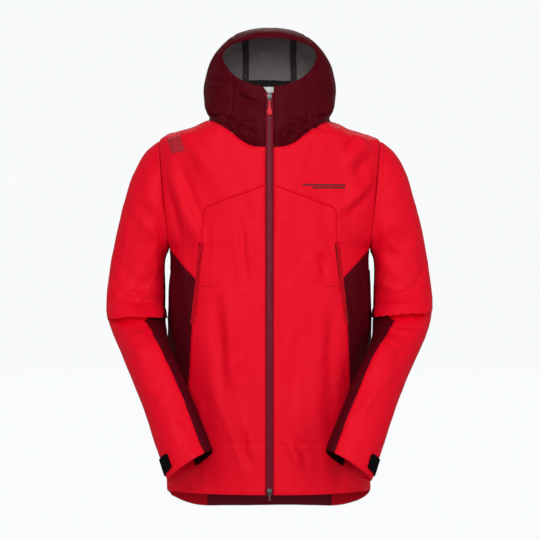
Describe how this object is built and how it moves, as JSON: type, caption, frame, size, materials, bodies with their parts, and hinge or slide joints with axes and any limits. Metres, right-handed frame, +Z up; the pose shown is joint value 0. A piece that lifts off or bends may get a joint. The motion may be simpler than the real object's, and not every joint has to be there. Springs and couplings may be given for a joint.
{
  "type": "hardshell jacket",
  "caption": "Hooded waterproof shell jacket with full front zip, hand pockets, contrast side panels, dropped back hem and adjustable cuffs, shown filled out as if worn.",
  "frame": {"origin": "middle of the underside of the neck loop's straight run, inside the back of the neck", "axes": "+Z up along the body, -Y out of the front zip, +X to the wearer's left"},
  "size_m": [0.6482, 0.3482, 0.966],
  "materials": {
    "red_shell": "matte",
    "burgundy_shell": "matte",
    "seam_tape": "satin",
    "pocket_mesh": "matte",
    "brushed_lining": "matte",
    "reflective_print": "satin",
    "print": "matte",
    "zip_tape": "matte",
    "zip_teeth": "satin",
    "zip_metal": "satin",
    "pull_red": "satin",
    "pull_burgundy": "satin",
    "pocket_zip": "satin",
    "cuff_closure": "matte"
  },
  "bodies": {
    "jacket": {"front_panel_L": "red_shell", "front_panel_R": "red_shell", "chest_yoke_L": "red_shell", "chest_yoke_R": "red_shell", "back_yoke": "red_shell", "back_panel": "red_shell", "pocket_welt_L": "red_shell", "pocket_welt_R": "red_shell", "sleeve_outer_L": "red_shell", "sleeve_outer_R": "red_shell", "side_panel_L": "burgundy_shell", "side_panel_R": "burgundy_shell", "collar_L": "burgundy_shell", "collar_R": "burgundy_shell", "hood_side_L": "burgundy_shell", "hood_side_R": "burgundy_shell", "hood_brim": "burgundy_shell", "hood_centre": "burgundy_shell", "sleeve_under_L": "burgundy_shell", "sleeve_under_R": "burgundy_shell", "hem_facing": "burgundy_shell", "cuff_facing_L": "burgundy_shell", "cuff_facing_R": "burgundy_shell", "storm_flap": "burgundy_shell", "hang_loop": "burgundy_shell", "seam_tape_L": "seam_tape", "seam_tape_R": "seam_tape", "pocket_bag_L": "pocket_mesh", "pocket_bag_R": "pocket_mesh", "chin_guard": "brushed_lining", "shoulder_patch": "reflective_print", "chest_emblem": "print", "zip_tape_L": "zip_tape", "zip_tape_R": "zip_tape", "zip_teeth_L": "zip_teeth", "zip_teeth_R": "zip_teeth", "zip_pin_L": "zip_metal", "zip_pin_R": "zip_metal", "zip_stop_L": "zip_metal", "zip_stop_R": "zip_metal", "pocket_zip_L": "pocket_zip", "pocket_zip_R": "pocket_zip", "cuff_patch_L": "cuff_closure", "cuff_patch_R": "cuff_closure"},
    "top_slider": {"top_slider": "zip_metal"},
    "top_pull": {"top_slider_bail": "zip_metal", "top_slider_pull": "pull_red"},
    "low_slider": {"low_slider": "zip_metal"},
    "low_pull": {"low_slider_bail": "zip_metal", "low_slider_pull": "pull_burgundy"},
    "pocket_slider_L": {"pocket_slider_L": "pocket_zip"},
    "pocket_slider_R": {"pocket_slider_R": "pocket_zip"},
    "cuff_tab_L": {"cuff_tab_L": "cuff_closure"},
    "cuff_tab_R": {"cuff_tab_R": "cuff_closure"}
  },
  "joints": [
    {"name": "top_slider_run", "type": "slide", "parent": "jacket", "child": "top_slider", "axis": [0, -0.0265, -0.9996], "range_m": [0, 0.56]},
    {"name": "top_pull_swing", "type": "hinge", "parent": "top_slider", "child": "top_pull", "pos_m": [0, -0.20635, 0.00412], "axis": [-1, 0, 0], "range_deg": [0, 160]},
    {"name": "low_slider_run", "type": "slide", "parent": "jacket", "child": "low_slider", "axis": [0, 0.0265, 0.9996], "range_m": [0, 0.12]},
    {"name": "low_pull_swing", "type": "hinge", "parent": "low_slider", "child": "low_pull", "pos_m": [0, -0.2266, -0.76089], "axis": [-1, 0, 0], "range_deg": [0, 160]},
    {"name": "pocket_slider_run_L", "type": "slide", "parent": "jacket", "child": "pocket_slider_L", "axis": [0.1099, 0.0503, -0.9927], "range_m": [0, 0.118]},
    {"name": "pocket_slider_run_R", "type": "slide", "parent": "jacket", "child": "pocket_slider_R", "axis": [-0.1099, 0.0503, -0.9927], "range_m": [0, 0.118]},
    {"name": "cuff_tab_lift_L", "type": "hinge", "parent": "jacket", "child": "cuff_tab_L", "pos_m": [0.19886, -0.23779, -0.7149], "axis": [0.3431, 0.2875, 0.8942], "range_deg": [0, 110]},
    {"name": "cuff_tab_lift_R", "type": "hinge", "parent": "jacket", "child": "cuff_tab_R", "pos_m": [-0.19886, -0.23779, -0.7149], "axis": [0.3431, -0.2875, -0.8942], "range_deg": [0, 110]}
  ]
}
